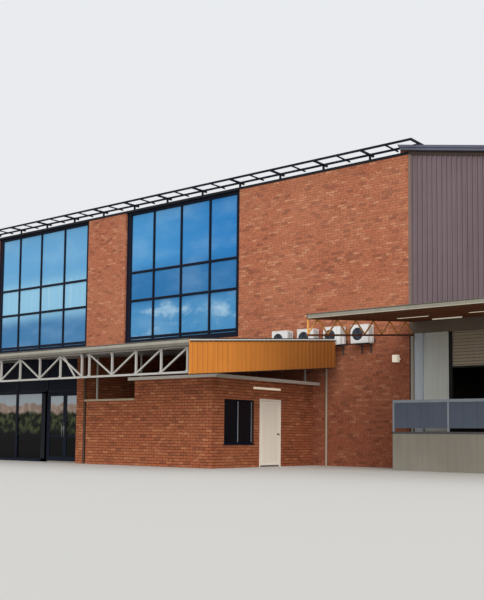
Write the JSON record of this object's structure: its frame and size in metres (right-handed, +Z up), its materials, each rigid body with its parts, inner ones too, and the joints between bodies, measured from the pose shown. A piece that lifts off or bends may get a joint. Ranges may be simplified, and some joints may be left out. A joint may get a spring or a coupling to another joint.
{
  "type": "factory building",
  "caption": "Brick factory building with tall gridded windows, a long steel canopy over a shopfront and annex, and a ribbed-metal warehouse end with a raised loading dock.",
  "frame": {"origin": "centre of the base of the brick corner at the right-hand end of the office front", "axes": "+X to the right along the front, +Y into the building, +Z up"},
  "size_m": [30.54, 21.48, 10.0565],
  "materials": {
    "brick": "brickwork in stretcher bond",
    "annex_brick": "brickwork in stretcher bond",
    "concrete": "rough cast",
    "slab_paint": "painted concrete",
    "coping_stone": "weathered stone",
    "roof_felt": "mineral felt",
    "roof_sheet": "weathered coated sheet",
    "edge_trim": "satin",
    "ladder_steel": "satin",
    "window_metal": "satin",
    "shop_metal": "satin",
    "upper_glazing": "clear",
    "shop_glazing": "clear",
    "canopy_steel": "satin",
    "gutter_metal": "satin",
    "fascia_paint": "satin coated sheet",
    "door_paint": "satin",
    "knob_metal": "brushed",
    "condenser_enamel": "enamel",
    "bracket_steel": "satin",
    "pipe_plastic": "satin",
    "lamp_plastic": "satin",
    "cladding_metal": "satin coated sheet",
    "cap_metal": "satin coated sheet",
    "dock_metal": "satin",
    "shutter_metal": "satin",
    "guard_steel": "satin",
    "awning_sheet": "satin",
    "awning_steel": "satin"
  },
  "bodies": {
    "building": {"annex_door_frame": "door_paint", "annex_door_head": "annex_brick", "annex_glass": "shop_glazing", "annex_roof": "slab_paint", "annex_side_walls": "annex_brick", "annex_walls": "annex_brick", "annex_window_frame": "window_metal", "awning_chords": "awning_steel", "awning_roof": "awning_sheet", "awning_webs": "awning_steel", "canopy_fascias": "fascia_paint", "canopy_posts": "canopy_steel", "canopy_rafters": "canopy_steel", "canopy_roof": "roof_sheet", "canopy_truss": "canopy_steel", "clad_front": "cladding_metal", "clad_rear": "cladding_metal", "clad_side": "cladding_metal", "condenser_brackets": "bracket_steel", "condensers": "condenser_enamel", "dock_columns": "dock_metal", "dock_guard": "guard_steel", "dock_header": "dock_metal", "dock_panels": "dock_metal", "dock_platform": "concrete", "downpipes": "pipe_plastic", "end_walls": "brick", "front_piers": "brick", "front_wall": "brick", "ground_floor": "concrete", "gutters": "gutter_metal", "office_roof": "roof_felt", "rear_wall": "brick", "roof_edge_trim": "edge_trim", "roof_frame": "ladder_steel", "shop_door_frame": "shop_metal", "shop_glass": "shop_glazing", "shop_side_walls": "annex_brick", "shop_spandrel": "shop_metal", "shopfront_frame": "shop_metal", "shutter_curtain": "shutter_metal", "shutter_guides": "shutter_metal", "upper_floor": "concrete", "upper_glass": "upper_glazing", "upper_window_frames": "window_metal", "verge_cap": "cap_metal", "wall_lights": "lamp_plastic", "warehouse_floor": "concrete", "warehouse_roof": "roof_sheet", "window_beams": "brick", "yard_coping": "coping_stone", "yard_screen_wall": "annex_brick"},
    "annex_leaf": {"annex_door": "door_paint", "annex_door_knobs": "knob_metal"},
    "shop_leaf_right": {"shop_door_right": "shop_metal", "shop_door_right_glass": "shop_glazing"},
    "shop_leaf_left": {"shop_door_left": "shop_metal", "shop_door_left_glass": "shop_glazing"}
  },
  "joints": [
    {"name": "annex_door_hinge", "type": "hinge", "parent": "building", "child": "annex_leaf", "pos_m": [-3.432, -2.926, 1], "axis": [0, 0, -1], "range_deg": [0, 90]},
    {"name": "shop_door_right_hinge", "type": "hinge", "parent": "building", "child": "shop_leaf_right", "pos_m": [-9.364, -4.908, 1.18], "axis": [0, 0, 1], "range_deg": [0, 90]},
    {"name": "shop_door_left_hinge", "type": "hinge", "parent": "building", "child": "shop_leaf_left", "pos_m": [-11.086, -4.908, 1.18], "axis": [0, 0, -1], "range_deg": [0, 90]}
  ]
}
